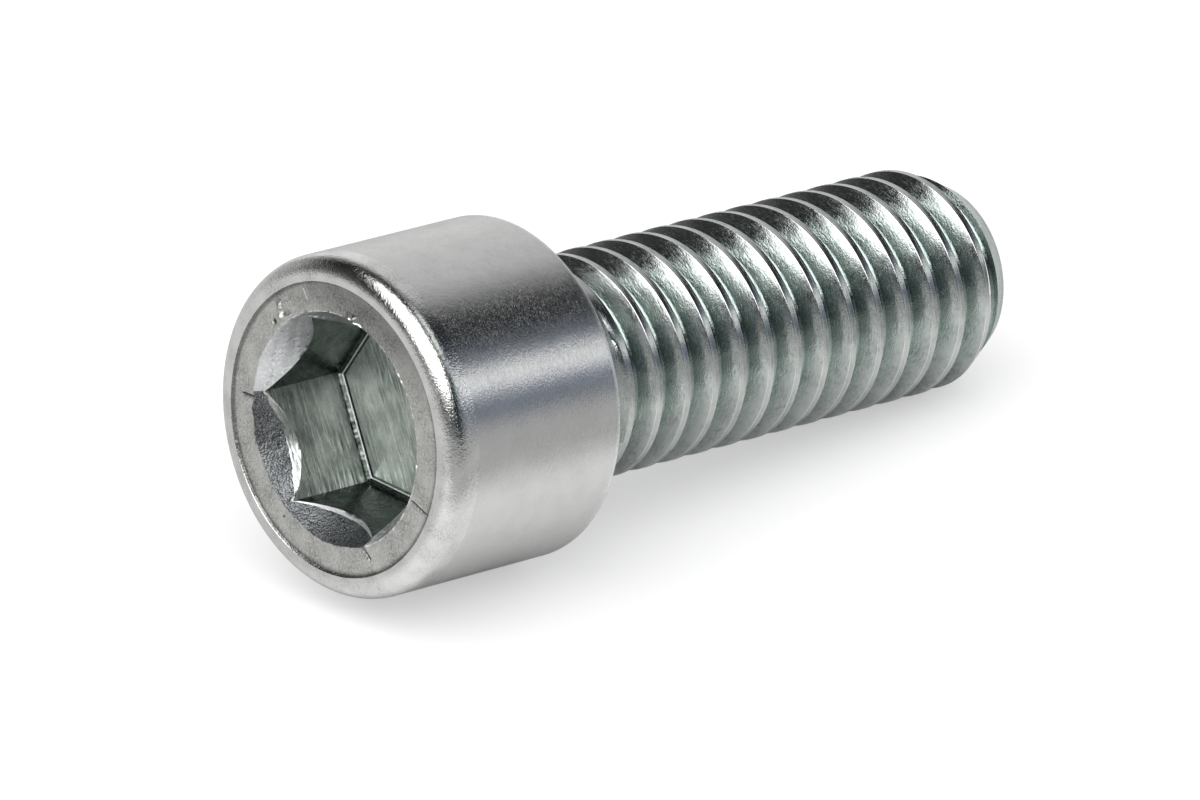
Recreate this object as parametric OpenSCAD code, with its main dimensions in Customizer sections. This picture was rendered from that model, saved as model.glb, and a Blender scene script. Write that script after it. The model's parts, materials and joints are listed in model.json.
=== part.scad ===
// Hex socket cap screw, 3/8 inch with 16 threads to the inch, one inch long under the head.
// It lies as it comes to rest: on the rim under its head and on the two crests nearest its point.
// +X runs from the head towards the point, +Z is up, and the origin is under its middle.

/* [Head] */
// Diameter of the plain round head
head_d = 14.2; // [13:0.1:16]
// Height of the head, from the bearing face to the front
head_h = 9.4; // [7.5:0.1:12]
// Radius of the rounded front edge
front_edge_r = 0.9; // [0.4:0.05:1.1]
// Width of the lip between the rounded edge and the sunk face
lip_w = 0.1; // [0.05:0.05:0.3]
// Depth of the sunk face behind the lip
face_depth = 0.1; // [0.05:0.01:0.3]
// Chamfer on the rim of the bearing face
rim_chamfer = 0.2; // [0.1:0.05:0.5]

/* [Socket] */
// Width of the hexagon across its flats
socket_af = 7.95; // [6.5:0.05:8.5]
// Depth of the hexagon from the front of the head
socket_depth = 4.65; // [3.2:0.05:6]
// Turn of the hexagon about the screw, from a flat that lies level
socket_turn = 1.5; // [0:0.5:60]
// How far the round mouth stands out past the hexagon's corners
mouth_margin = 0.24; // [0.1:0.02:0.3]
// Full angle of the coned mouth
mouth_angle = 63; // [50:1:90]
// Bevel between the socket's walls and its floor
floor_bevel = 0.4; // [0.1:0.05:0.6]

/* [Shank] */
// Length of the shank under the head
shank_l = 25.4; // [14:0.2:50]
// Fillet between the bearing face and the shank
fillet_r = 0.4; // [0.2:0.05:0.6]
// How far the end face's rim lies inside the root of the thread
point_inset = 0.2; // [0.1:0.05:0.6]

/* [Thread] */
// Diameter over the crests
thread_d = 9.45; // [8.6:0.05:10]
// Distance from crest to crest
thread_pitch = 1.5875; // [1.3:0.0125:1.8]
// Width of the flat crest
crest_w = 0.32; // [0.2:0.02:0.44]
// Radius of the round root
root_r = 0.27; // [0.15:0.01:0.3]
// Distance from the end of the screw to the last crest that it lies on
end_crest = 1.55; // [1.2:0.05:1.8]
// Turns over which the groove runs out towards the head
runout_turns = 0.6; // [0.3:0.1:1]

/* [Hidden] */

zinc = [0.74, 0.75, 0.76];
eps = 0.01;

head_r = head_d / 2;
total_l = head_h + shank_l;
rim_z = head_h - rim_chamfer;
face_r = head_r - front_edge_r - lip_w - face_depth;
rim_flats = 240;

socket_r = socket_af / 2;
mouth_r = socket_r / cos(30) + mouth_margin;
mouth_l = (mouth_r - socket_r + floor_bevel) / tan(mouth_angle / 2);

// Thread form: a vee between flat crests, with a round root
flank = 30;
thread_r = thread_d / 2;
groove_w = thread_pitch - crest_w;
root_centre_r = thread_r - groove_w / 2 / tan(flank) + root_r / sin(flank);
thread_root_r = root_centre_r - root_r;
groove_depth = thread_r - thread_root_r;

// Resting pose: a level line under the screw touches the head's rim and two crests. The first
// is whole, and the point's cone cuts the second down to that line.
crest_z = total_l - end_crest;
whole_z = crest_z - thread_pitch + crest_w / 2;
cut_z = crest_z - crest_w / 2;
lean = atan((head_r - thread_r) / (whole_z - rim_z));
cut_r = thread_r - (cut_z - whole_z) * tan(lean);
rest_z = head_r * cos(lean) + rim_z * sin(lean);

// The point's cone stops inside the root of the thread
point_r = thread_root_r - point_inset;
point_z = cut_z - (thread_r - cut_r) * (total_l - cut_z) / (cut_r - point_r);

front_x = -(head_r - front_edge_r) * sin(lean) - front_edge_r * (1 - cos(lean));
end_x = total_l * cos(lean) + point_r * sin(lean);

// The cutter stands out past the crests, so that only its flanks and root cut
cutter_out = 0.25;
cutter_w = groove_w + 2 * cutter_out * tan(flank);
cutter_section = [
  [thread_r + cutter_out, -cutter_w / 2],
  [root_centre_r - root_r * sin(flank), -root_r * cos(flank)],
  [thread_root_r, 0],
  [root_centre_r - root_r * sin(flank), root_r * cos(flank)],
  [thread_r + cutter_out, cutter_w / 2]];

// The middle of the groove passes under the screw half a pitch past a crest
turn_steps = 30;
step_z = thread_pitch / turn_steps;
phase_z = crest_z + thread_pitch / 2;
clear_z = head_h + fillet_r + cutter_w / 2 + 2 * eps;
lead_steps = floor((phase_z - clear_z) / step_z - 0.5) + 0.5;
tail_steps = ceil((total_l + cutter_w / 2 - phase_z) / step_z) + 0.5;

// Near the head the groove rises out of the shank
function runout(i) =
  max(0, 1 - (i + lead_steps) / (turn_steps * runout_turns)) * (groove_depth + 6 * eps);

function cutter_ring(i) = let (a = i * 360 / turn_steps, z = phase_z + i * step_z)
  [for (p = cutter_section) let (r = p[0] + runout(i)) [r * cos(a), r * sin(a), z + p[1]]];

module head_outline() {
  translate([0, front_edge_r]) square([head_r, head_h - front_edge_r]);
  square([head_r - front_edge_r, head_h]);
  translate([head_r - front_edge_r, front_edge_r]) circle(r = front_edge_r, $fn = 64);
}

module shank_outline() {
  polygon([[0, rim_z], [thread_r, rim_z], [thread_r, point_z], [point_r, total_l], [0, total_l]]);
  difference() {
    translate([0, rim_z]) square([thread_r + fillet_r, rim_chamfer + fillet_r]);
    translate([thread_r + fillet_r, head_h + fillet_r]) circle(r = fillet_r, $fn = 64);
  }
}

// The chamfer under the head is cut in narrow flats, which divide the rim that the screw lies on
module chamfer_cut() {
  top_r = head_r - 3 * rim_chamfer;
  foot_r = head_r + rim_chamfer;
  translate([0, 0, rim_z]) difference() {
    cylinder(r = foot_r + rim_chamfer, h = 2 * rim_chamfer, $fn = 96);
    translate([0, 0, -rim_chamfer]) linear_extrude(height = foot_r - top_r, scale = top_r / foot_r)
      circle(r = foot_r, $fn = rim_flats);
  }
}

module blank() {
  difference() {
    rotate_extrude($fn = 96) {
      head_outline();
      shank_outline();
    }
    chamfer_cut();
  }
}

// Three slabs cross at 60 degrees and leave a hexagon with a bevelled floor
module slab() {
  rotate([90, 0, 0]) linear_extrude(height = 4 * socket_r, center = true)
    polygon([[-socket_r, -1], [socket_r, -1], [socket_r, socket_depth - floor_bevel],
      [socket_r - floor_bevel, socket_depth], [floor_bevel - socket_r, socket_depth],
      [-socket_r, socket_depth - floor_bevel]]);
}

module hexagon() {
  rotate([0, 0, socket_turn]) intersection() {
    slab();
    rotate([0, 0, 60]) slab();
    rotate([0, 0, 120]) slab();
  }
}

module mouth() {
  translate([0, 0, face_depth])
    cylinder(r1 = mouth_r, r2 = socket_r - floor_bevel, h = mouth_l, $fn = 96);
}

module sunk_face() {
  translate([0, 0, -face_depth])
    cylinder(r1 = face_r + 2 * face_depth, r2 = face_r, h = 2 * face_depth, $fn = 96);
}

module groove() {
  n = len(cutter_section);
  rings = lead_steps + tail_steps;
  points = [for (i = [-lead_steps : tail_steps]) each cutter_ring(i)];
  sides = [for (i = [0 : rings - 1], j = [0 : n - 1]) let (k = (j + 1) % n)
    each [[i * n + j, (i + 1) * n + k, i * n + k], [i * n + j, (i + 1) * n + j, (i + 1) * n + k]]];
  first = [for (j = [0 : n - 1]) j];
  last = [for (j = [n - 1 : -1 : 0]) rings * n + j];
  polyhedron(points = points, faces = concat([first, last], sides));
}

module cap_screw() {
  color(zinc)
    translate([-(front_x + end_x) / 2, 0, rest_z]) rotate([0, 90 + lean, 0])
      difference() {
        blank();
        sunk_face();
        mouth();
        hexagon();
        groove();
      }
}

cap_screw();
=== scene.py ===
import json
import math

import bmesh
import bpy
from mathutils import Matrix, Vector, noise


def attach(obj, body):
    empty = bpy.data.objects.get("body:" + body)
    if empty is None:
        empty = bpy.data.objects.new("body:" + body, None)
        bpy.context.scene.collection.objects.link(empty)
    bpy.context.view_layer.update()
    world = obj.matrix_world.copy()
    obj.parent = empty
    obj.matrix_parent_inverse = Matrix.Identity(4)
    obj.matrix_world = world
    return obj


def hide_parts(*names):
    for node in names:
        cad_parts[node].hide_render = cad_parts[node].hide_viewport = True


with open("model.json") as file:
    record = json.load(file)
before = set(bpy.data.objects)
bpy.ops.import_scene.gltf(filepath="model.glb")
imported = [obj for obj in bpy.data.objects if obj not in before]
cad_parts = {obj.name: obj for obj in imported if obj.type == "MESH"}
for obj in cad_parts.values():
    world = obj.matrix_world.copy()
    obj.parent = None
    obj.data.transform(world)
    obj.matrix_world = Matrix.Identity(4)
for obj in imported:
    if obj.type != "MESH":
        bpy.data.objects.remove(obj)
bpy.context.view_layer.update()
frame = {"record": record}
bpy.ops.object.select_all(action="DESELECT")
print("stage: frame loaded")

# The screw is modelled upright in millimetres: its axis is Z, the front of the head is at zero
# and the point is up. It is then scaled to metres and laid down where the frame says.
mounts = {mount["name"]: mount for mount in frame["record"]["mounts"]}
screwAxis = -Vector(mounts["hex_socket"]["axis"]).normalized()
screwDown = Vector((0, 1, 0)).cross(screwAxis)
headRadius = mounts["head_rim"]["dims"]["r_mm"]

screw = {
    "headHeight": 9.4,
    "frontEdge": 0.9,        # radius of the rounded front edge
    "lipWidth": 0.1,
    "faceDepth": 0.1,        # the face is sunk this far behind the lip
    "rimChamfer": 0.2,
    "fillet": 0.4,
    "socketFlats": 7.95,
    "socketDepth": 4.65,
    "socketTurn": 1.5,
    "mouthMargin": 0.24,
    "mouthAngle": 63,
    "shankLength": 25.4,
    "threadRadius": 4.725,
    "pitch": 1.5875,
    "crestWidth": 0.32,
    "rootRadius": 0.27,
    "flankAngle": 30,
    "endCrest": 1.55,        # from the end to the crest that passes under the screw
    "pointInset": 0.2,
    "runoutTurns": 0.6,
    "smoothAngle": 32,       # faces that meet at less than this are shaded as one
}

totalLength = screw["headHeight"] + screw["shankLength"]
grooveWidth = screw["pitch"] - screw["crestWidth"]
flank = math.radians(screw["flankAngle"])
rootCentre = screw["threadRadius"] - grooveWidth / 2 / math.tan(flank)
rootCentre += screw["rootRadius"] / math.sin(flank)
threadRoot = rootCentre - screw["rootRadius"]
pointRadius = threadRoot - screw["pointInset"]
socketHalf = screw["socketFlats"] / 2
mouthRadius = socketHalf / math.cos(math.radians(30)) + screw["mouthMargin"]
faceRadius = headRadius - screw["frontEdge"] - screw["lipWidth"] - screw["faceDepth"]

# Resting pose of the thread: one whole crest and one crest cut by the point's cone touch the floor
crestAtEnd = totalLength - screw["endCrest"]
wholeCrest = crestAtEnd - screw["pitch"] + screw["crestWidth"] / 2
rimEdge = screw["headHeight"] - screw["rimChamfer"]
leanSlope = (headRadius - screw["threadRadius"]) / (wholeCrest - rimEdge)
cutCrest = crestAtEnd - screw["crestWidth"] / 2
cutRadius = screw["threadRadius"] - (cutCrest - wholeCrest) * leanSlope
coneSlope = (cutRadius - pointRadius) / (totalLength - cutCrest)

shankStart = screw["headHeight"] + screw["fillet"]
screwFace = Vector(mounts["hex_socket"]["pos_m"]) - screwAxis * screw["faceDepth"] * 0.001
layDown = Matrix.Translation(screwFace) @ Matrix((screwDown, (0, 1, 0), screwAxis)).transposed().to_4x4()
layDown = layDown @ Matrix.Scale(0.001, 4)


# Materials

def addNode(tree, kind, inputs=None, **settings):
    node = tree.nodes.new(kind)
    for key, value in settings.items():
        setattr(node, key, value)
    for key, value in (inputs or {}).items():
        if isinstance(value, bpy.types.NodeSocket):
            tree.links.new(value, node.inputs[key])
        else:
            node.inputs[key].default_value = value
    return node


def startMaterial(name):
    material = bpy.data.materials.new(name)
    material.use_nodes = True
    tree = material.node_tree
    return material, tree, tree.nodes["Principled BSDF"]


def alongScrew(tree, scale):
    # Pattern coordinates in millimetres with Z along the screw, stretched by scale
    coords = addNode(tree, "ShaderNodeTexCoord")
    turned = layDown.inverted()
    mapping = addNode(tree, "ShaderNodeMapping", {"Vector": coords.outputs["Object"]})
    mapping.inputs["Location"].default_value = turned.to_translation()
    mapping.inputs["Rotation"].default_value = turned.to_euler("XYZ")
    mapping.inputs["Scale"].default_value = turned.to_scale()
    stretch = addNode(tree, "ShaderNodeVectorMath", {0: mapping.outputs["Vector"]}, operation="MULTIPLY")
    stretch.inputs[1].default_value = scale
    return stretch.outputs["Vector"]


def alongWall(tree, scale):
    # The same turned to the socket's wall low on the far side: X out of it, Y along its width
    coords = alongScrew(tree, (1, 1, 1))
    turn = math.radians(screw["socketTurn"] + 60)
    out, width = (math.cos(turn), math.sin(turn), 0), (-math.sin(turn), math.cos(turn), 0)
    parts = {index: towards(tree, coords, [value * scale[index] for value in axis])
             for index, axis in enumerate((out, width, (0, 0, 1)))}
    return addNode(tree, "ShaderNodeCombineXYZ", parts).outputs["Vector"]


def grain(tree, scale, detail=3, roughness=0.55, coords=alongScrew):
    texture = addNode(tree, "ShaderNodeTexNoise", {"Vector": coords(tree, scale), "Scale": 1.0,
                                                  "Detail": detail, "Roughness": roughness})
    return texture.outputs["Fac"]


def remap(tree, value, low, high, toLow, toHigh):
    node = addNode(tree, "ShaderNodeMapRange", {"Value": value, "From Min": low, "From Max": high,
                                               "To Min": toLow, "To Max": toHigh})
    return node.outputs["Result"]


def mixColours(tree, factor, first, second, blend="MIX"):
    node = addNode(tree, "ShaderNodeMix", data_type="RGBA", blend_type=blend)
    for socket, value in ((0, factor), (6, first), (7, second)):
        if isinstance(value, bpy.types.NodeSocket):
            tree.links.new(value, node.inputs[socket])
        else:
            node.inputs[socket].default_value = value
    return node.outputs[2]


def towards(tree, direction, axis):
    dot = addNode(tree, "ShaderNodeVectorMath", {0: direction}, operation="DOT_PRODUCT")
    dot.inputs[1].default_value = axis
    return dot.outputs["Value"]


def bumpFrom(tree, layers):
    normal = None
    for height, distance in layers:
        node = addNode(tree, "ShaderNodeBump", {"Height": height, "Distance": distance, "Strength": 1.0})
        if normal is not None:
            tree.links.new(normal, node.inputs["Normal"])
        normal = node.outputs["Normal"]
    return normal


# Each layer of grain is its fineness across, across and along the screw, and its height in metres
finishes = {
    "side": {"bright": (0.83, 0.83, 0.82, 1), "dull": (0.71, 0.71, 0.70, 1), "rough": (0.12, 0.24),
             "layers": (((5, 5, 34), 0.000009), ((14, 14, 20), 0.000005), ((1.1, 1.1, 1.6), 0.000004))},
    "edge": {"bright": (0.95, 0.95, 0.93, 1), "dull": (0.55, 0.55, 0.53, 1), "rough": (0.05, 0.14),
             "layers": (((14, 14, 14), 0.000013), ((5, 5, 8), 0.000010))},
    "face": {"bright": (0.77, 0.77, 0.74, 1), "dull": (0.33, 0.33, 0.31, 1), "rough": (0.2, 0.42),
             "layers": (((9, 9, 9), 0.000032), ((24, 24, 24), 0.000008), ((3.2, 3.2, 3.2), 0.000060))},
    "mouth": {"bright": (0.26, 0.27, 0.28, 1), "dull": (0.02, 0.025, 0.025, 1), "rough": (0.15, 0.35),
              "layers": (((12, 12, 12), 0.000045), ((5, 5, 5), 0.000035))},
    "burr": {"bright": (0.95, 0.96, 0.97, 1), "dull": (0.72, 0.73, 0.73, 1), "rough": (0.25, 0.4),
             "layers": (((9, 9, 9), 0.000008), ((2, 2, 2), 0.000012))},
    "crest": {"bright": (0.98, 0.99, 0.98, 1), "dull": (0.80, 0.82, 0.81, 1), "rough": (0.08, 0.2),
              "layers": (((9, 9, 9), 0.000006), ((2, 2, 2), 0.000010))},
    "wall": {"bright": (0.80, 0.83, 0.80, 1), "dull": (0.18, 0.22, 0.20, 1), "rough": (0.18, 0.42),
             "layers": (((10, 0.8, 10), 0.000022), ((2.5, 0.7, 2.5), 0.000030))},
    "bottom": {"bright": (0.60, 0.63, 0.60, 1), "dull": (0.15, 0.19, 0.17, 1), "rough": (0.18, 0.42),
               "layers": (((10, 0.8, 10), 0.000022), ((2.5, 0.7, 2.5), 0.000030))},
    # The next two are darker copies of the wall zinc: painted shade in the socket, deepest in its corners
    "socket": {"bright": (0.30, 0.34, 0.31, 1), "dull": (0.10, 0.13, 0.11, 1), "rough": (0.12, 0.28),
               "layers": (((10, 1.0, 10), 0.000008), ((1.5, 1.5, 1.5), 0.000040))},
    "pit": {"bright": (0.07, 0.09, 0.08, 1), "dull": (0.02, 0.025, 0.02, 1), "rough": (0.12, 0.28),
            "layers": (((8, 1.0, 8), 0.000010), ((1.5, 1.5, 1.5), 0.000040))},
    "thread": {"bright": (0.68, 0.71, 0.69, 1), "dull": (0.38, 0.42, 0.40, 1), "rough": (0.10, 0.28),
               "layers": (((4, 4, 26), 0.000006), ((12, 12, 14), 0.000005), ((1.2, 1.2, 1.2), 0.000012))},
}
inSocket = ("wall", "bottom", "socket", "pit")

# How the zinc varies over the screw, in millimetres
zinc = {
    "cloudFineness": (0.9, 0.9, 0.9),     # bright and dull zinc alternate in soft clouds
    "cloudFade": (0.35, 0.65),
    "speckFade": (0.3, 0.7),
    "grooveTint": (0.62, 0.70, 0.68, 1),  # painted shade: darker and greener down in the thread
    "grooveFrom": 0.04,                   # from this far below the crests
    "grooveTo": 0.15,                     # to this far above the root
    "shadeTint": (0.42, 0.42, 0.42, 1),   # painted shade on the face
    "shadeBorder": 0.16,                  # along its lip
    "shadeTowards": (-1, -0.25, 0),       # and towards its top
    "shadeReach": (3.6, 5.6),
    "shadeShare": 0.9,
    "lineCore": 0.4,                      # share of a cut's width that has its full colour
}

# Lines painted on the face: dark ones are painted shade in its cracks and scratches, light ones painted
# highlights along them. From and to (radius, angle round the screw from straight up towards the camera's
# side), width and colour
crackShadesAndHighlights = (
    {"from": (4.85, 155), "to": (5.40, 152), "width": 0.05, "colour": (0.03, 0.03, 0.03, 1)},
    {"from": (4.95, 108.6), "to": (5.97, 108.6), "width": 0.05, "colour": (0.05, 0.05, 0.05, 1)},
    {"from": (4.60, -91.3), "to": (5.48, -91.3), "width": 0.05, "colour": (0.05, 0.05, 0.05, 1)},
    {"from": (4.60, -90.6), "to": (5.50, -90.7), "width": 0.03, "colour": (0.9, 0.9, 0.9, 1)},
    {"from": (5.36, -23), "to": (5.80, -24), "width": 0.045, "colour": (0.95, 0.95, 0.95, 1)},
    {"from": (5.22, -150.6), "to": (5.28, -150.6), "width": 0.05, "colour": (0.04, 0.04, 0.04, 1)},
    {"from": (5.15, -49), "to": (5.25, -49), "width": 0.09, "colour": (0.05, 0.05, 0.05, 1)},
)


def onFace(radius, angle):
    turn = math.radians(angle + 180)
    return Vector((radius * math.cos(turn), radius * math.sin(turn), 0))


def lineMask(tree, cut):
    # One on the line between two points of the face, falling to zero at its width
    start, end = onFace(*cut["from"]), onFace(*cut["to"])
    reach = end - start
    flat = alongScrew(tree, (1, 1, 0))
    offset = addNode(tree, "ShaderNodeVectorMath", {0: flat, 1: start}, operation="SUBTRACT").outputs[0]
    share = addNode(tree, "ShaderNodeVectorMath", {0: offset, 1: reach / reach.length_squared},
                    operation="DOT_PRODUCT").outputs["Value"]
    share = remap(tree, share, 0, 1, 0, 1)
    step = addNode(tree, "ShaderNodeVectorMath", {0: reach, "Scale": share}, operation="SCALE").outputs[0]
    gap = addNode(tree, "ShaderNodeVectorMath", {0: offset, 1: step}, operation="DISTANCE").outputs["Value"]
    return remap(tree, gap, cut["width"] * zinc["lineCore"], cut["width"], 1, 0)


def tinted(tree, share, colour, tint):
    return mixColours(tree, share, colour, mixColours(tree, 1.0, colour, tint, "MULTIPLY"))


def zincFinish(name):
    look = finishes[name]
    material, tree, shader = startMaterial("zinc_" + name)
    clouds = remap(tree, grain(tree, zinc["cloudFineness"], 4), *zinc["cloudFade"], 0, 1)
    coords = alongWall if name in inSocket else alongScrew
    specks = remap(tree, grain(tree, look["layers"][0][0], 2, coords=coords), *zinc["speckFade"], 0, 1)
    blend = addNode(tree, "ShaderNodeMath", {0: clouds, 1: specks}, operation="MULTIPLY")
    colour = mixColours(tree, blend.outputs[0], look["bright"], look["dull"])
    radius = addNode(tree, "ShaderNodeVectorMath", {0: alongScrew(tree, (1, 1, 0))}, operation="LENGTH")
    radius = radius.outputs["Value"]
    # The thread's colour carries painted shade, darker and greener from below the crests towards the root
    if name == "thread":
        foot = threadRoot + zinc["grooveTo"]
        depth = remap(tree, radius, screw["threadRadius"] - zinc["grooveFrom"], foot, 0, 1)
        colour = tinted(tree, depth, colour, zinc["grooveTint"])
    if name == "face":
        # Painted shade on the face: darker along its lip and towards its top
        border = remap(tree, radius, faceRadius - zinc["shadeBorder"], faceRadius, 0, 1)
        upper = towards(tree, alongScrew(tree, (1, 1, 1)), zinc["shadeTowards"])
        upper = remap(tree, upper, *zinc["shadeReach"], 0, zinc["shadeShare"])
        paintedFaceShade = addNode(tree, "ShaderNodeMath", {0: border, 1: upper}, operation="MAXIMUM").outputs[0]
        colour = tinted(tree, paintedFaceShade, colour, zinc["shadeTint"])
        # Painted shade and painted highlights along the face's cracks
        for cut in crackShadesAndHighlights:
            colour = mixColours(tree, lineMask(tree, cut), colour, cut["colour"])
    tree.links.new(colour, shader.inputs["Base Color"])
    shader.inputs["Metallic"].default_value = 1.0
    low, high = look["rough"]
    tree.links.new(remap(tree, specks, 0, 1, low, high), shader.inputs["Roughness"])
    heights = [(grain(tree, scale, 2, coords=coords), distance) for scale, distance in look["layers"]]
    tree.links.new(bumpFrom(tree, heights), shader.inputs["Normal"])
    return material


finishNames = list(finishes)
finishSlots = {name: zincFinish(name) for name in finishNames}
print("stage: finishes made")


# Raised and sunk marks in the same terms as the painted lines, with their height above the face
marks = (
    {"from": (4.15, -144), "to": (4.62, -148), "width": 0.13, "height": 0.12},
    {"from": (5.12, -43), "to": (5.58, -41), "width": 0.13, "height": 0.13},
    {"from": (5.12, -43), "to": (4.93, -37), "width": 0.12, "height": 0.11},
    {"from": (5.18, -49), "to": (5.24, -49), "width": 0.10, "height": -0.10},
    {"from": (4.80, 9.5), "to": (5.02, 8.5), "width": 0.09, "height": 0.10},
    {"from": (5.02, 8.5), "to": (5.06, 3), "width": 0.06, "height": 0.07},
    {"from": (5.93, -86), "to": (5.95, -86), "width": 0.09, "height": 0.09},
    {"from": (4.90, 155), "to": (5.40, 152), "width": 0.08, "height": -0.07},
    {"from": (4.70, 158), "to": (4.85, 151), "width": 0.12, "height": 0.12},
    {"from": (5.00, 108.6), "to": (5.95, 108.6), "width": 0.06, "height": -0.06},
    {"from": (4.60, -91.3), "to": (5.46, -91.3), "width": 0.07, "height": -0.07},
)

# Head, drawn out ring by ring from under it, round its rim and down into the socket

headForm = {
    "cornersPerRing": 480,
    "filletSteps": 5,
    "bearingRings": (5.4, 6.2),           # radii
    "soft": 0.02,                         # about how far the corners at the rim and the lip are rounded
    "paleStrip": (0.13, 0.16),            # a bright strip round the rim ends between these
    "sideRings": (8.2, 6.4, 4.6, 2.8, 1.4),     # distances from the front
    "edgeSteps": 18,
    "faceSteps": 17,
    "mouthSteps": 14,
    "mouthBevel": 0.04,                   # between the face and the cone of the mouth
    "mouthWaves": ((0.07, 9), (0.05, 26)),      # size and fineness of the waves in its edge
    "mouthRough": (0.05, 14),             # and of those in the cone
    "mouthLeast": 0.06,                   # the cone's least width
    # The cone is rough above the two lowest walls, as far as a share of its width, then smooth
    "mouthFinishes": ((0.88, "burr"), (0.74, "wall")),
    # Painted shade: all walls but one get the darker copies of the wall zinc
    "wallFinishes": ("pit", "wall", "socket", "socket", "socket", "pit"),
    "wallShares": (0.03, 0.1, 0.25, 0.45, 0.65, 0.85, 1.0),
    "wallFoot": 0.25,                     # the walls bend in this far from the floor
    # Rings of the floor: share of the hexagon's size, distance from the floor and finish. The darkest rings
    # are painted shade in the corner round it
    "floorRings": (
        (0.985, 0.20, "pit"), (0.965, 0.07, "socket"), (0.955, 0.03, "burr"), (0.93, 0, "pit"),
        (0.55, 0, "bottom"), (0.3, 0, "bottom"), (0.1, 0, "bottom"),
    ),
}


def hexRadius(angle, half):
    turn = math.radians(screw["socketTurn"])
    side = math.radians(60)
    offset = (angle - turn + side / 2) % side - side / 2
    return half / math.cos(offset)


def mouthHeight(radius):
    return screw["faceDepth"] + (mouthRadius - radius) / math.tan(math.radians(screw["mouthAngle"] / 2))


def headRings():
    # Each ring is a function from angle to radius and height, with the finish of the strip up to it
    rings = []

    def roundRing(radius, height, finish):
        rings.append((lambda angle: (radius, height), finish))

    fillet = screw["fillet"]
    top = screw["headHeight"]
    for step in range(1, headForm["filletSteps"] + 1):
        turn = math.radians(90 * step / headForm["filletSteps"])
        radius = screw["threadRadius"] + fillet * (1 - math.cos(turn))
        roundRing(radius, top + fillet * (1 - math.sin(turn)), "thread")
    soft = headForm["soft"]
    chamfer = screw["rimChamfer"]
    for radius in (*headForm["bearingRings"], headRadius - chamfer - 2 * soft):
        roundRing(radius, top, "side")
    roundRing(headRadius - chamfer, top - soft / 2, "side")
    roundRing(headRadius - 0.75 * soft, rimEdge + soft, "side")
    roundRing(headRadius, rimEdge - soft, "burr")
    for distance, finish in zip(headForm["paleStrip"], ("burr", "side")):
        roundRing(headRadius, rimEdge - distance, finish)
    for height in headForm["sideRings"]:
        roundRing(headRadius, height, "side")
    edge = screw["frontEdge"]
    for step in range(headForm["edgeSteps"] + 1):
        turn = math.radians(90 * step / headForm["edgeSteps"])
        roundRing(headRadius - edge * (1 - math.cos(turn)), edge * (1 - math.sin(turn)), "edge")
    lip = headRadius - edge - screw["lipWidth"]
    roundRing(lip, 0.0, "edge")
    roundRing(lip - soft, 0.75 * soft, "edge")
    roundRing(faceRadius + soft, screw["faceDepth"] - soft / 2, "face")
    for step in range(headForm["faceSteps"] + 1):
        share = step / headForm["faceSteps"]
        rings.append((lambda angle, share=share: facePoint(angle, share), "face"))
    for step in range(headForm["mouthSteps"] + 1):
        share = step / headForm["mouthSteps"]
        rings.append((lambda angle, share=share: mouthPoint(angle, share),
                      lambda angle, share=share: mouthFinish(angle, share)))
    for share in headForm["wallShares"]:
        rings.append((lambda angle, share=share: wallPoint(angle, share), wallFinish))
    for size, distance, finish in headForm["floorRings"]:
        height = screw["socketDepth"] - distance
        rings.append((lambda angle, size=size, height=height:
                      (size * hexRadius(angle, socketHalf), height), finish))
    return rings


def wallNumber(angle):
    # The six walls of the hexagon, counted from the lowest towards the far side
    return round((math.degrees(angle) - screw["socketTurn"]) / 60) % 6


def wallFinish(angle):
    return headForm["wallFinishes"][wallNumber(angle)]


def mouthFinish(angle, share):
    number = wallNumber(angle)
    if number >= len(headForm["mouthFinishes"]):
        return "burr"
    rough, smooth = headForm["mouthFinishes"][number]
    return smooth if share > rough else "mouth"


def ragged(angle, size, fineness):
    # Uneven round the screw, the same wherever it is asked for at the same angle
    place = Vector((math.cos(angle), math.sin(angle), 0.3)) * fineness
    return size * noise.noise(place)


def mouthEdge(angle):
    return mouthRadius + sum(ragged(angle, size, fineness) for size, fineness in headForm["mouthWaves"])


def markLift(radius, angle):
    # How far the marks raise a point of the face or the mouth above it
    place = Vector((radius * math.cos(angle), radius * math.sin(angle), 0))
    lift = 0.0
    for mark in marks:
        start, end = onFace(*mark["from"]), onFace(*mark["to"])
        reach = end - start
        share = min(1, max(0, (place - start).dot(reach) / reach.length_squared))
        gap = (place - start - reach * share).length / mark["width"]
        if gap < 3:
            lift += mark["height"] * math.exp(-gap * gap)
    return lift


def facePoint(angle, share):
    radius = faceRadius + (mouthEdge(angle) + headForm["mouthBevel"] - faceRadius) * share
    return radius, screw["faceDepth"] - markLift(radius, angle)


def mouthPoint(angle, share):
    inner = hexRadius(angle, socketHalf)
    outer = max(mouthEdge(angle), inner + headForm["mouthLeast"])
    radius = outer + (inner - outer) * share
    rough = math.sin(math.pi * share) * ragged(angle + share, *headForm["mouthRough"])
    return radius, mouthHeight(radius) - markLift(radius, angle) + rough


def wallPoint(angle, share):
    radius = hexRadius(angle, socketHalf)
    start = mouthHeight(radius)
    end = screw["socketDepth"] - headForm["wallFoot"]
    return radius, start + (end - start) * share


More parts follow.
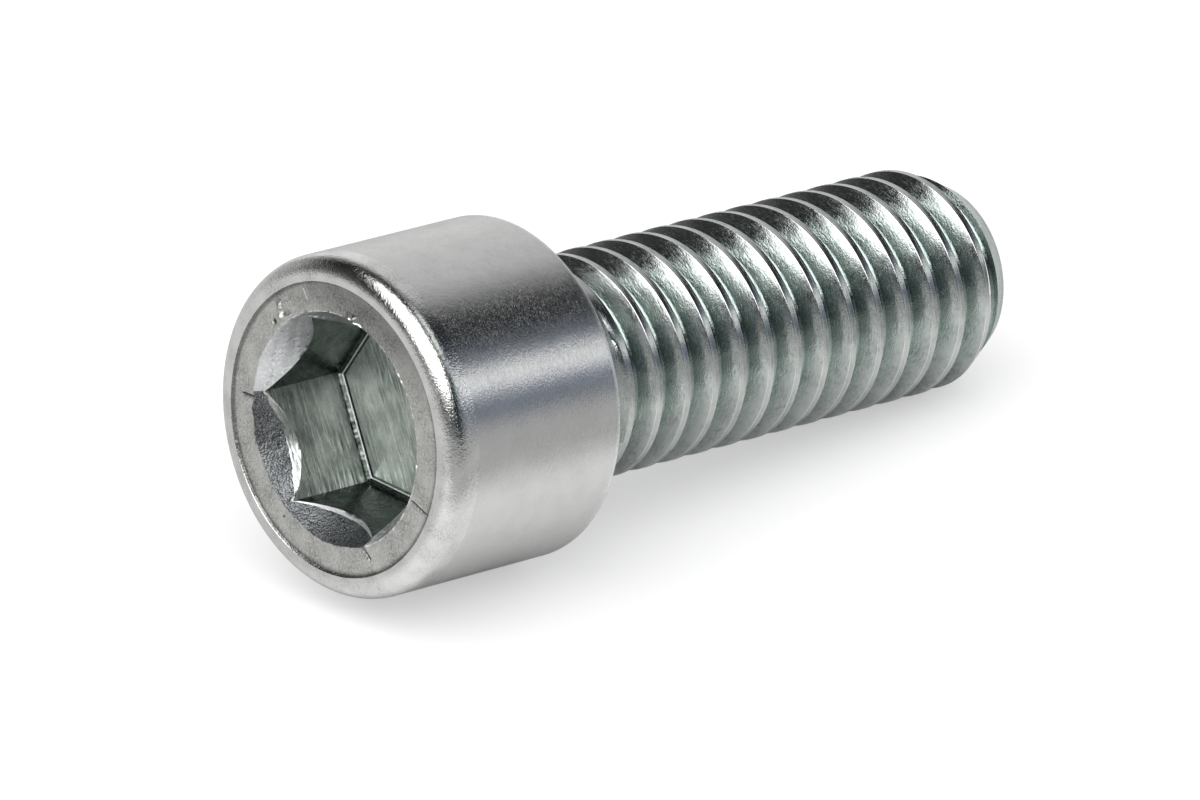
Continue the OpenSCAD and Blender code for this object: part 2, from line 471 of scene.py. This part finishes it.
def makeHead():
    bpy.ops.mesh.primitive_circle_add(vertices=headForm["cornersPerRing"], radius=screw["threadRadius"],
                                      location=(0, 0, shankStart))
    head = bpy.context.object
    head.name = "screw_head"
    bpy.ops.object.transform_apply(location=True, rotation=False, scale=False)
    for name in finishNames:
        head.data.materials.append(finishSlots[name])
    bpy.ops.object.mode_set(mode="EDIT")
    bpy.ops.mesh.select_all(action="SELECT")
    for place, finish in headRings():
        bpy.ops.mesh.extrude_edges_move()
        shape = bmesh.from_edit_mesh(head.data)
        for corner in shape.verts:
            if corner.select:
                angle = math.atan2(corner.co.y, corner.co.x)
                radius, height = place(angle)
                corner.co = (radius * math.cos(angle), radius * math.sin(angle), height)
                for face in corner.link_faces:
                    if sum(v.select for v in face.verts) == 2:
                        middle = face.calc_center_median()
                        kind = finish
                        if callable(finish):
                            kind = finish(math.atan2(middle.y, middle.x))
                        face.material_index = finishNames.index(kind)
        bmesh.update_edit_mesh(head.data)
    bpy.ops.mesh.edge_face_add()
    bpy.ops.mesh.select_all(action="SELECT")
    bpy.ops.mesh.normals_make_consistent(inside=False)
    bpy.ops.mesh.select_all(action="DESELECT")
    bpy.ops.object.mode_set(mode="OBJECT")
    head.select_set(False)
    return head


# Thread: one pitch of the form, wound up by a screw modifier

thread = {
    "stepsPerTurn": 108,
    "edgeRound": 0.035,            # radius of the crests' edges
    "crestHollow": 0.02,           # the crests are this much lower in their middle
    "rootSteps": 3,                # from the flank to the middle of the root
    "turnsPast": 3,                # turns wound past the last crest, before the ends are trimmed
    "turnsSpare": 4,               # and spare turns in all
    "rubbedDepth": 0.06,           # the crests' edges are rubbed bright this far down
    "rubbedSlope": (0.4, 0.97),    # where they face outwards this much
    "joint": 0.06,                 # the shank joins the head this far past the fillet
    "plainLength": 0.15,           # and is plain this far past it
    "runoutStart": 0.16,           # the groove begins this far past it
    "runoutLift": 0.06,            # and its root starts this far above the crests
    "runoutReach": 3,              # pitches past that in which corners are moved at all
    "trim": 0.8,                   # left past the point before its cone is cut
    "mergeGap": 0.002,
}

point = {
    "soft": 0.14,                  # rounding of the rim of the end face
    "spare": 0.6,                  # the blank stands out past the crests
    "steps": 240,
    "mergeGap": 0.0001,
}


def threadForm():
    radius = screw["threadRadius"]
    half = screw["crestWidth"] / 2
    soft = thread["edgeRound"]
    rootRadius = screw["rootRadius"]
    points = [(radius - thread["crestHollow"], 0.0), (radius - thread["crestHollow"] * 0.7, half * 0.5)]
    for turn in (0, 20, 40, 60):
        bend = math.radians(turn)
        points.append((radius - soft * (1 - math.cos(bend)), half - soft * 0.6 + soft * math.sin(bend)))
    root = []
    for step in range(thread["rootSteps"] + 1):
        turn = flank + (math.pi / 2 - flank) * step / thread["rootSteps"]
        across = screw["pitch"] / 2 - rootRadius * math.cos(turn)
        root.append((rootCentre - rootRadius * math.sin(turn), across))
    halfWay = [(above + below) / 2 for above, below in zip(points[-1], root[0])]
    points += [halfWay] + root
    mirrored = [(r, screw["pitch"] - z) for r, z in reversed(points[:-1])]
    return points + mirrored


def drawOutline(name, points):
    # A line of edges through points (radius, height) beside the axis, drawn out corner by corner
    bpy.ops.mesh.primitive_plane_add(size=1)
    piece = bpy.context.object
    piece.name = name
    bpy.ops.object.mode_set(mode="EDIT")
    bpy.ops.mesh.merge(type="CENTER")
    bpy.ops.transform.translate(value=(points[0][0], 0, points[0][1]))
    for last, place in zip(points, points[1:]):
        reach = (place[0] - last[0], 0, place[1] - last[1])
        bpy.ops.mesh.extrude_vertices_move(TRANSFORM_OT_translate={"value": reach})
    bpy.ops.object.mode_set(mode="OBJECT")
    return piece


def recalculateNormals():
    bpy.ops.object.mode_set(mode="EDIT")
    bpy.ops.mesh.select_all(action="SELECT")
    bpy.ops.mesh.normals_make_consistent(inside=False)
    bpy.ops.mesh.select_all(action="DESELECT")
    bpy.ops.object.mode_set(mode="OBJECT")


def windUp(piece, steps, mergeGap, **settings):
    # Turn an outline about the axis, in so many steps to a turn
    wind = piece.modifiers.new("wind", "SCREW")
    wind.steps = steps
    wind.render_steps = steps
    for key, value in settings.items():
        setattr(wind, key, value)
    bpy.ops.object.modifier_apply(modifier="wind")
    bpy.ops.object.mode_set(mode="EDIT")
    bpy.ops.mesh.select_all(action="SELECT")
    bpy.ops.mesh.remove_doubles(threshold=mergeGap)
    bpy.ops.object.mode_set(mode="OBJECT")


def makeThread():
    form = threadForm()
    turns = math.ceil(screw["shankLength"] / screw["pitch"]) + thread["turnsSpare"]
    # Crests pass the bottom, where the angle is zero, at crestAtEnd and every pitch before it
    start = crestAtEnd - (turns - thread["turnsPast"]) * screw["pitch"]
    shank = drawOutline("screw_thread", [(radius, start + height) for radius, height in form])
    windUp(shank, thread["stepsPerTurn"], thread["mergeGap"], screw_offset=screw["pitch"], iterations=turns)
    return shank


def runOut(shank):
    # Under the head the groove rises out of the shank, along the same helix as it is cut
    pitch = screw["pitch"]
    grooveStart = shankStart + grooveWidth / 2 + thread["runoutStart"]
    depth = screw["threadRadius"] - threadRoot + thread["runoutLift"]
    middle = crestAtEnd + pitch / 2
    for corner in shank.data.vertices:
        x, y, height = corner.co
        if height > grooveStart + thread["runoutReach"] * pitch:
            continue
        turn = math.atan2(y, x) / (2 * math.pi)
        centre = middle + (turn + round((height - middle) / pitch - turn)) * pitch
        lift = depth * min(1, max(0, 1 - (centre - grooveStart) / (pitch * screw["runoutTurns"])))
        radius = math.hypot(x, y)
        raised = min(screw["threadRadius"], radius + lift)
        if height < shankStart + thread["plainLength"]:
            raised = screw["threadRadius"]
        corner.co = (x * raised / radius, y * raised / radius, height)


def cutPoint(shank):
    # The point is turned to a cone with a soft rim round its end face
    soft = point["soft"]
    wide = screw["threadRadius"] + point["spare"]
    bottom = screw["headHeight"] - 1
    outline = [
        (0, bottom), (wide, bottom),
        (wide, totalLength - (wide - pointRadius) / coneSlope),
        (pointRadius + soft * coneSlope, totalLength - soft),
        (pointRadius - 0.3 * soft, totalLength - 0.3 * soft),
        (pointRadius - soft, totalLength), (0, totalLength),
    ]
    blank = drawOutline("point_blank", outline)
    gap = point["mergeGap"]
    windUp(blank, point["steps"], gap, use_merge_vertices=True, merge_threshold=gap)
    recalculateNormals()
    blank.select_set(False)
    bpy.context.view_layer.objects.active = shank
    shank.select_set(True)
    cut = shank.modifiers.new("cut", "BOOLEAN")
    cut.operation = "INTERSECT"
    cut.solver = "MANIFOLD"
    cut.object = blank
    bpy.ops.object.modifier_apply(modifier="cut")
    bpy.data.objects.remove(blank)


def closeEnds(shank):
    bpy.context.view_layer.objects.active = shank
    bpy.ops.object.mode_set(mode="EDIT")
    for height, side in ((shankStart + thread["joint"], -1), (totalLength + thread["trim"], 1)):
        bpy.ops.mesh.select_all(action="SELECT")
        bpy.ops.mesh.bisect(plane_co=(0, 0, height), plane_no=(0, 0, side), use_fill=True, clear_outer=True)
    bpy.ops.object.mode_set(mode="OBJECT")
    recalculateNormals()


def openUnderHead(shank):
    # The shank is open again where it meets the head
    foot = shankStart + thread["joint"]
    bpy.ops.object.mode_set(mode="EDIT")
    bpy.ops.mesh.select_mode(type="FACE")
    bpy.ops.mesh.select_all(action="DESELECT")
    shape = bmesh.from_edit_mesh(shank.data)
    for face in shape.faces:
        face.select = all(abs(v.co.z - foot) < thread["mergeGap"] / 2 for v in face.verts)
    bmesh.update_edit_mesh(shank.data)
    bpy.ops.mesh.delete(type="FACE")
    bpy.ops.mesh.select_mode(type="VERT")
    bpy.ops.object.mode_set(mode="OBJECT")


def joinScrew(head, shank):
    # The rounded edges of the crests are rubbed bright
    rubbedFrom = screw["threadRadius"] - thread["rubbedDepth"]
    least, most = thread["rubbedSlope"]
    for face in shank.data.polygons:
        radius = math.hypot(face.center.x, face.center.y)
        outward = (face.normal.x * face.center.x + face.normal.y * face.center.y) / max(radius, 0.001)
        rubbed = radius > rubbedFrom and least < outward < most
        face.material_index = finishNames.index("crest" if rubbed else "thread")
    bpy.ops.object.select_all(action="DESELECT")
    head.select_set(True)
    shank.select_set(True)
    bpy.context.view_layer.objects.active = head
    bpy.ops.object.join()
    bpy.ops.object.mode_set(mode="EDIT")
    bpy.ops.mesh.select_mode(type="EDGE")
    bpy.ops.mesh.select_all(action="DESELECT")
    bpy.ops.mesh.select_non_manifold(extend=False, use_wire=False, use_multi_face=False,
                                     use_non_contiguous=False, use_verts=False)
    bpy.ops.mesh.bridge_edge_loops()
    bpy.ops.mesh.select_mode(type="VERT")
    bpy.ops.object.mode_set(mode="OBJECT")
    recalculateNormals()
    return head


head = makeHead()
print("stage: head made,", len(head.data.polygons), "faces")
shank = makeThread()
for name in finishNames:
    shank.data.materials.append(finishSlots[name])
runOut(shank)
closeEnds(shank)
print("stage: thread wound,", len(shank.data.polygons), "faces")
cutPoint(shank)
openUnderHead(shank)
print("stage: point turned,", len(shank.data.polygons), "faces")
capScrew = joinScrew(head, shank)
capScrew.name = "zinc_cap_screw"
capScrew.data.transform(layDown)
capScrew.data.update()
bpy.context.view_layer.objects.active = capScrew
bpy.ops.object.shade_smooth_by_angle(angle=math.radians(screw["smoothAngle"]))
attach(capScrew, "root")
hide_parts("cap_screw")
print("stage: screw joined,", len(capScrew.data.polygons), "faces")


# Floor, light and camera

studio = {
    "floorSize": 6,
    "floorSeen": 0.93,             # colour of the floor for the camera
    "floorGlow": 0.45,             # share of it that glows, which keeps the shadows pale
    # In the zinc the floor has one colour near the screw, and darker painted shade beyond it in two
    # directions, each with the distances in metres between which it fades in
    "floorNear": 0.62,
    "floorBeyond": ((0.31, (0, -1, 0), (0.011, 0.022)), (0.44, (-0.5, 0.86, 0), (0.006, 0.016))),
    "skyFrom": (-0.55, -0.32, 0.77),
    "skySpread": (0.7, 1.0),
    "skyOnFloor": (0.85, 3.8),     # least and most light on the floor
    # Long lamps and dark flags lie along the screw. Each is an angle round it, from straight up
    # towards the camera's side, with its colour from there on.
    "besideHead": (
        (-100, (0.90, 0.90, 0.90)), (-60, (0.64, 0.64, 0.64)), (-20, (0.52, 0.52, 0.53)),
        (-9, (0.40, 0.40, 0.41)), (0, (0.12, 0.12, 0.125)), (8, (0.02, 0.02, 0.022)),
        (24, (0.015, 0.016, 0.02)), (36, (0.08, 0.09, 0.11)), (45, (0.17, 0.20, 0.25)),
        (50, (0.84, 0.84, 0.84)), (61, (0.95, 0.96, 0.98)), (67, (0.20, 0.23, 0.29)),
        (76, (0.13, 0.155, 0.20)), (88, (0.20, 0.22, 0.24)), (110, (0.5, 0.5, 0.5)),
    ),
    # The same for the light that the grooves of the thread send on, for the flag round the head's
    # edge, and for the light before the head, which is a sill, a low light and a lamp above it
    "grooves": (
        (-100, (0.5, 0.5, 0.5)), (-50, (0.20, 0.21, 0.20)), (-20, (0.10, 0.11, 0.10)),
        (0, (0.12, 0.13, 0.12)), (14, (1.0, 1.05, 1.03)), (34, (1.05, 1.1, 1.08)),
        (46, (0.14, 0.18, 0.19)), (80, (0.10, 0.13, 0.14)), (98, (0.09, 0.11, 0.11)),
        (122, (0.36, 0.37, 0.36)),
    ),
    "flag": (
        (-120, (0.45, 0.45, 0.45)), (-78, (0.40, 0.40, 0.40)), (-60, (0.015, 0.015, 0.015)),
        (132, (0.02, 0.02, 0.02)), (150, (0.4, 0.4, 0.4)),
    ),
    "sill": (
        (-95, (0.5, 0.5, 0.5)), (-75, (0.10, 0.10, 0.10)), (20, (0.08, 0.10, 0.11)),
        (80, (0.10, 0.12, 0.12)), (110, (0.4, 0.4, 0.4)),
    ),
    "low": (
        (-95, (0.5, 0.5, 0.5)), (-75, (0.10, 0.10, 0.10)), (-36, (0.07, 0.08, 0.07)),
        (-22, (0.85, 0.88, 0.87)), (4, (0.90, 0.94, 0.93)), (14, (0.07, 0.09, 0.10)),
        (50, (0.05, 0.06, 0.06)), (60, (0.015, 0.015, 0.015)), (98, (0.015, 0.015, 0.015)),
        (112, (0.4, 0.4, 0.4)),
    ),
    "lamp": (
        (-95, (0.5, 0.5, 0.5)), (-80, (0.05, 0.05, 0.05)), (-28, (0.02, 0.02, 0.02)),
        (-21, (2.6, 2.6, 2.6)), (56, (2.6, 2.6, 2.6)), (62, (0.02, 0.02, 0.02)),
        (96, (0.02, 0.02, 0.02)), (110, (0.4, 0.4, 0.4)),
    ),
    # Angles from the screw's axis, between which one row fades into the next
    "rows": (("flag", (102, 109)), ("grooves", (84, 89)), ("besideHead", (67, 74))),
    # and heights above the horizon, between which one row before the head fades into the next
    "heights": (("low", (11, 16)), ("lamp", (23, 28))),
}


def lampRow(tree, turn, row):
    share = remap(tree, turn, -math.pi, math.pi, 0, 1)
    ramp = addNode(tree, "ShaderNodeValToRGB", {"Fac": share})
    stops = ramp.color_ramp.elements
    for index, (angle, colour) in enumerate(row):
        place = (angle + 180) / 360
        stop = stops[index] if index < 2 else stops.new(place)
        stop.position = place
        stop.color = (*colour, 1)
    return ramp.outputs["Color"]


def fade(tree, value, start, end):
    node = addNode(tree, "ShaderNodeMapRange", {"Value": value, "From Min": start, "From Max": end},
                   interpolation_type="SMOOTHSTEP")
    return node.outputs["Result"]


def grey(value):
    return (value, value, value, 1)


def makeStudioWorld():
    world = bpy.data.worlds.new("studio")
    bpy.context.scene.world = world
    world.use_nodes = True
    tree = world.node_tree
    tree.nodes.clear()
    direction = addNode(tree, "ShaderNodeTexCoord").outputs["Generated"]
    across = towards(tree, direction, (0, -1, 0))
    upward = towards(tree, direction, -screwDown)
    turn = addNode(tree, "ShaderNodeMath", {0: across, 1: upward}, operation="ARCTAN2").outputs[0]
    height = towards(tree, direction, (0, 0, 1))
    lamps = lampRow(tree, turn, studio["sill"])
    for row, angles in studio["heights"]:
        foot, top = (math.sin(math.radians(angle)) for angle in angles)
        lamps = mixColours(tree, fade(tree, height, foot, top), lamps, lampRow(tree, turn, studio[row]))
    for row, angles in studio["rows"]:
        near, far = (math.cos(math.radians(angle)) for angle in angles)
        ahead = fade(tree, towards(tree, direction, screwAxis), far, near)
        lamps = mixColours(tree, ahead, lamps, lampRow(tree, turn, studio[row]))
    path = addNode(tree, "ShaderNodeLightPath")
    least, most = (grey(value) for value in studio["skyOnFloor"])
    overhead = fade(tree, towards(tree, direction, studio["skyFrom"]), *studio["skySpread"])
    sky = mixColours(tree, overhead, least, most)
    lamps = mixColours(tree, path.outputs["Is Diffuse Ray"], lamps, sky)
    lamps = mixColours(tree, path.outputs["Is Camera Ray"], lamps, (1, 1, 1, 1))
    background = addNode(tree, "ShaderNodeBackground", {"Color": lamps, "Strength": 1.0})
    addNode(tree, "ShaderNodeOutputWorld", {"Surface": background.outputs[0]})


def makeFloor():
    bpy.ops.mesh.primitive_plane_add(size=studio["floorSize"], location=(0, 0, 0))
    floor = bpy.context.object
    floor.name = "studio_floor"
    material, tree, shader = startMaterial("pale_floor")
    place = addNode(tree, "ShaderNodeTexCoord").outputs["Object"]
    pale = grey(studio["floorNear"])
    # Painted shade on the floor beyond the screw, as the zinc reflects it
    for beyondShade, direction, distances in studio["floorBeyond"]:
        pale = mixColours(tree, fade(tree, towards(tree, place, direction), *distances), pale, grey(beyondShade))
    camera = addNode(tree, "ShaderNodeLightPath").outputs["Is Camera Ray"]
    pale = mixColours(tree, camera, pale, grey(studio["floorSeen"]))
    tree.links.new(pale, shader.inputs["Base Color"])
    shader.inputs["Roughness"].default_value = 1.0
    shader.inputs["Specular IOR Level"].default_value = 0.0
    glow = addNode(tree, "ShaderNodeMath", {0: camera, 1: studio["floorGlow"]}, operation="MULTIPLY")
    white = addNode(tree, "ShaderNodeEmission", {"Color": (1, 1, 1, 1), "Strength": 1.0})
    lit = addNode(tree, "ShaderNodeMixShader",
                  {0: glow.outputs[0], 1: shader.outputs[0], 2: white.outputs[0]})
    tree.links.new(lit.outputs[0], tree.nodes["Material Output"].inputs["Surface"])
    floor.data.materials.append(material)
    floor.select_set(False)


# The camera is placed from the middle of the head's front, in the screw's own directions
view = {
    "place": (-188.461, -365.927, -354.078),   # millimetres down, across and along the screw
    "azimuth": 46.497,
    "elevation": 24.296,
    "roll": -0.261,
    "lens": 405.05,
    "sensor": 36,
    "clip": (0.01, 50),                        # metres
}


def makeCamera():
    data = bpy.data.cameras.new("photo_view")
    camera = bpy.data.objects.new("photo_view", data)
    bpy.context.scene.collection.objects.link(camera)
    data.lens = view["lens"]
    data.sensor_width = view["sensor"]
    data.clip_start, data.clip_end = view["clip"]
    camera.location = layDown @ Vector(view["place"])
    heading = math.radians(view["azimuth"] - 90)
    turn = Matrix.Rotation(heading, 3, "Z") @ Matrix.Rotation(math.radians(90 - view["elevation"]), 3, "X")
    turn = turn @ Matrix.Rotation(math.radians(view["roll"]), 3, "Z")
    camera.rotation_euler = turn.to_euler()
    bpy.context.scene.camera = camera


makeFloor()
makeStudioWorld()
makeCamera()
bpy.context.scene.view_settings.view_transform = "Standard"
print("stage: floor, light and camera set")
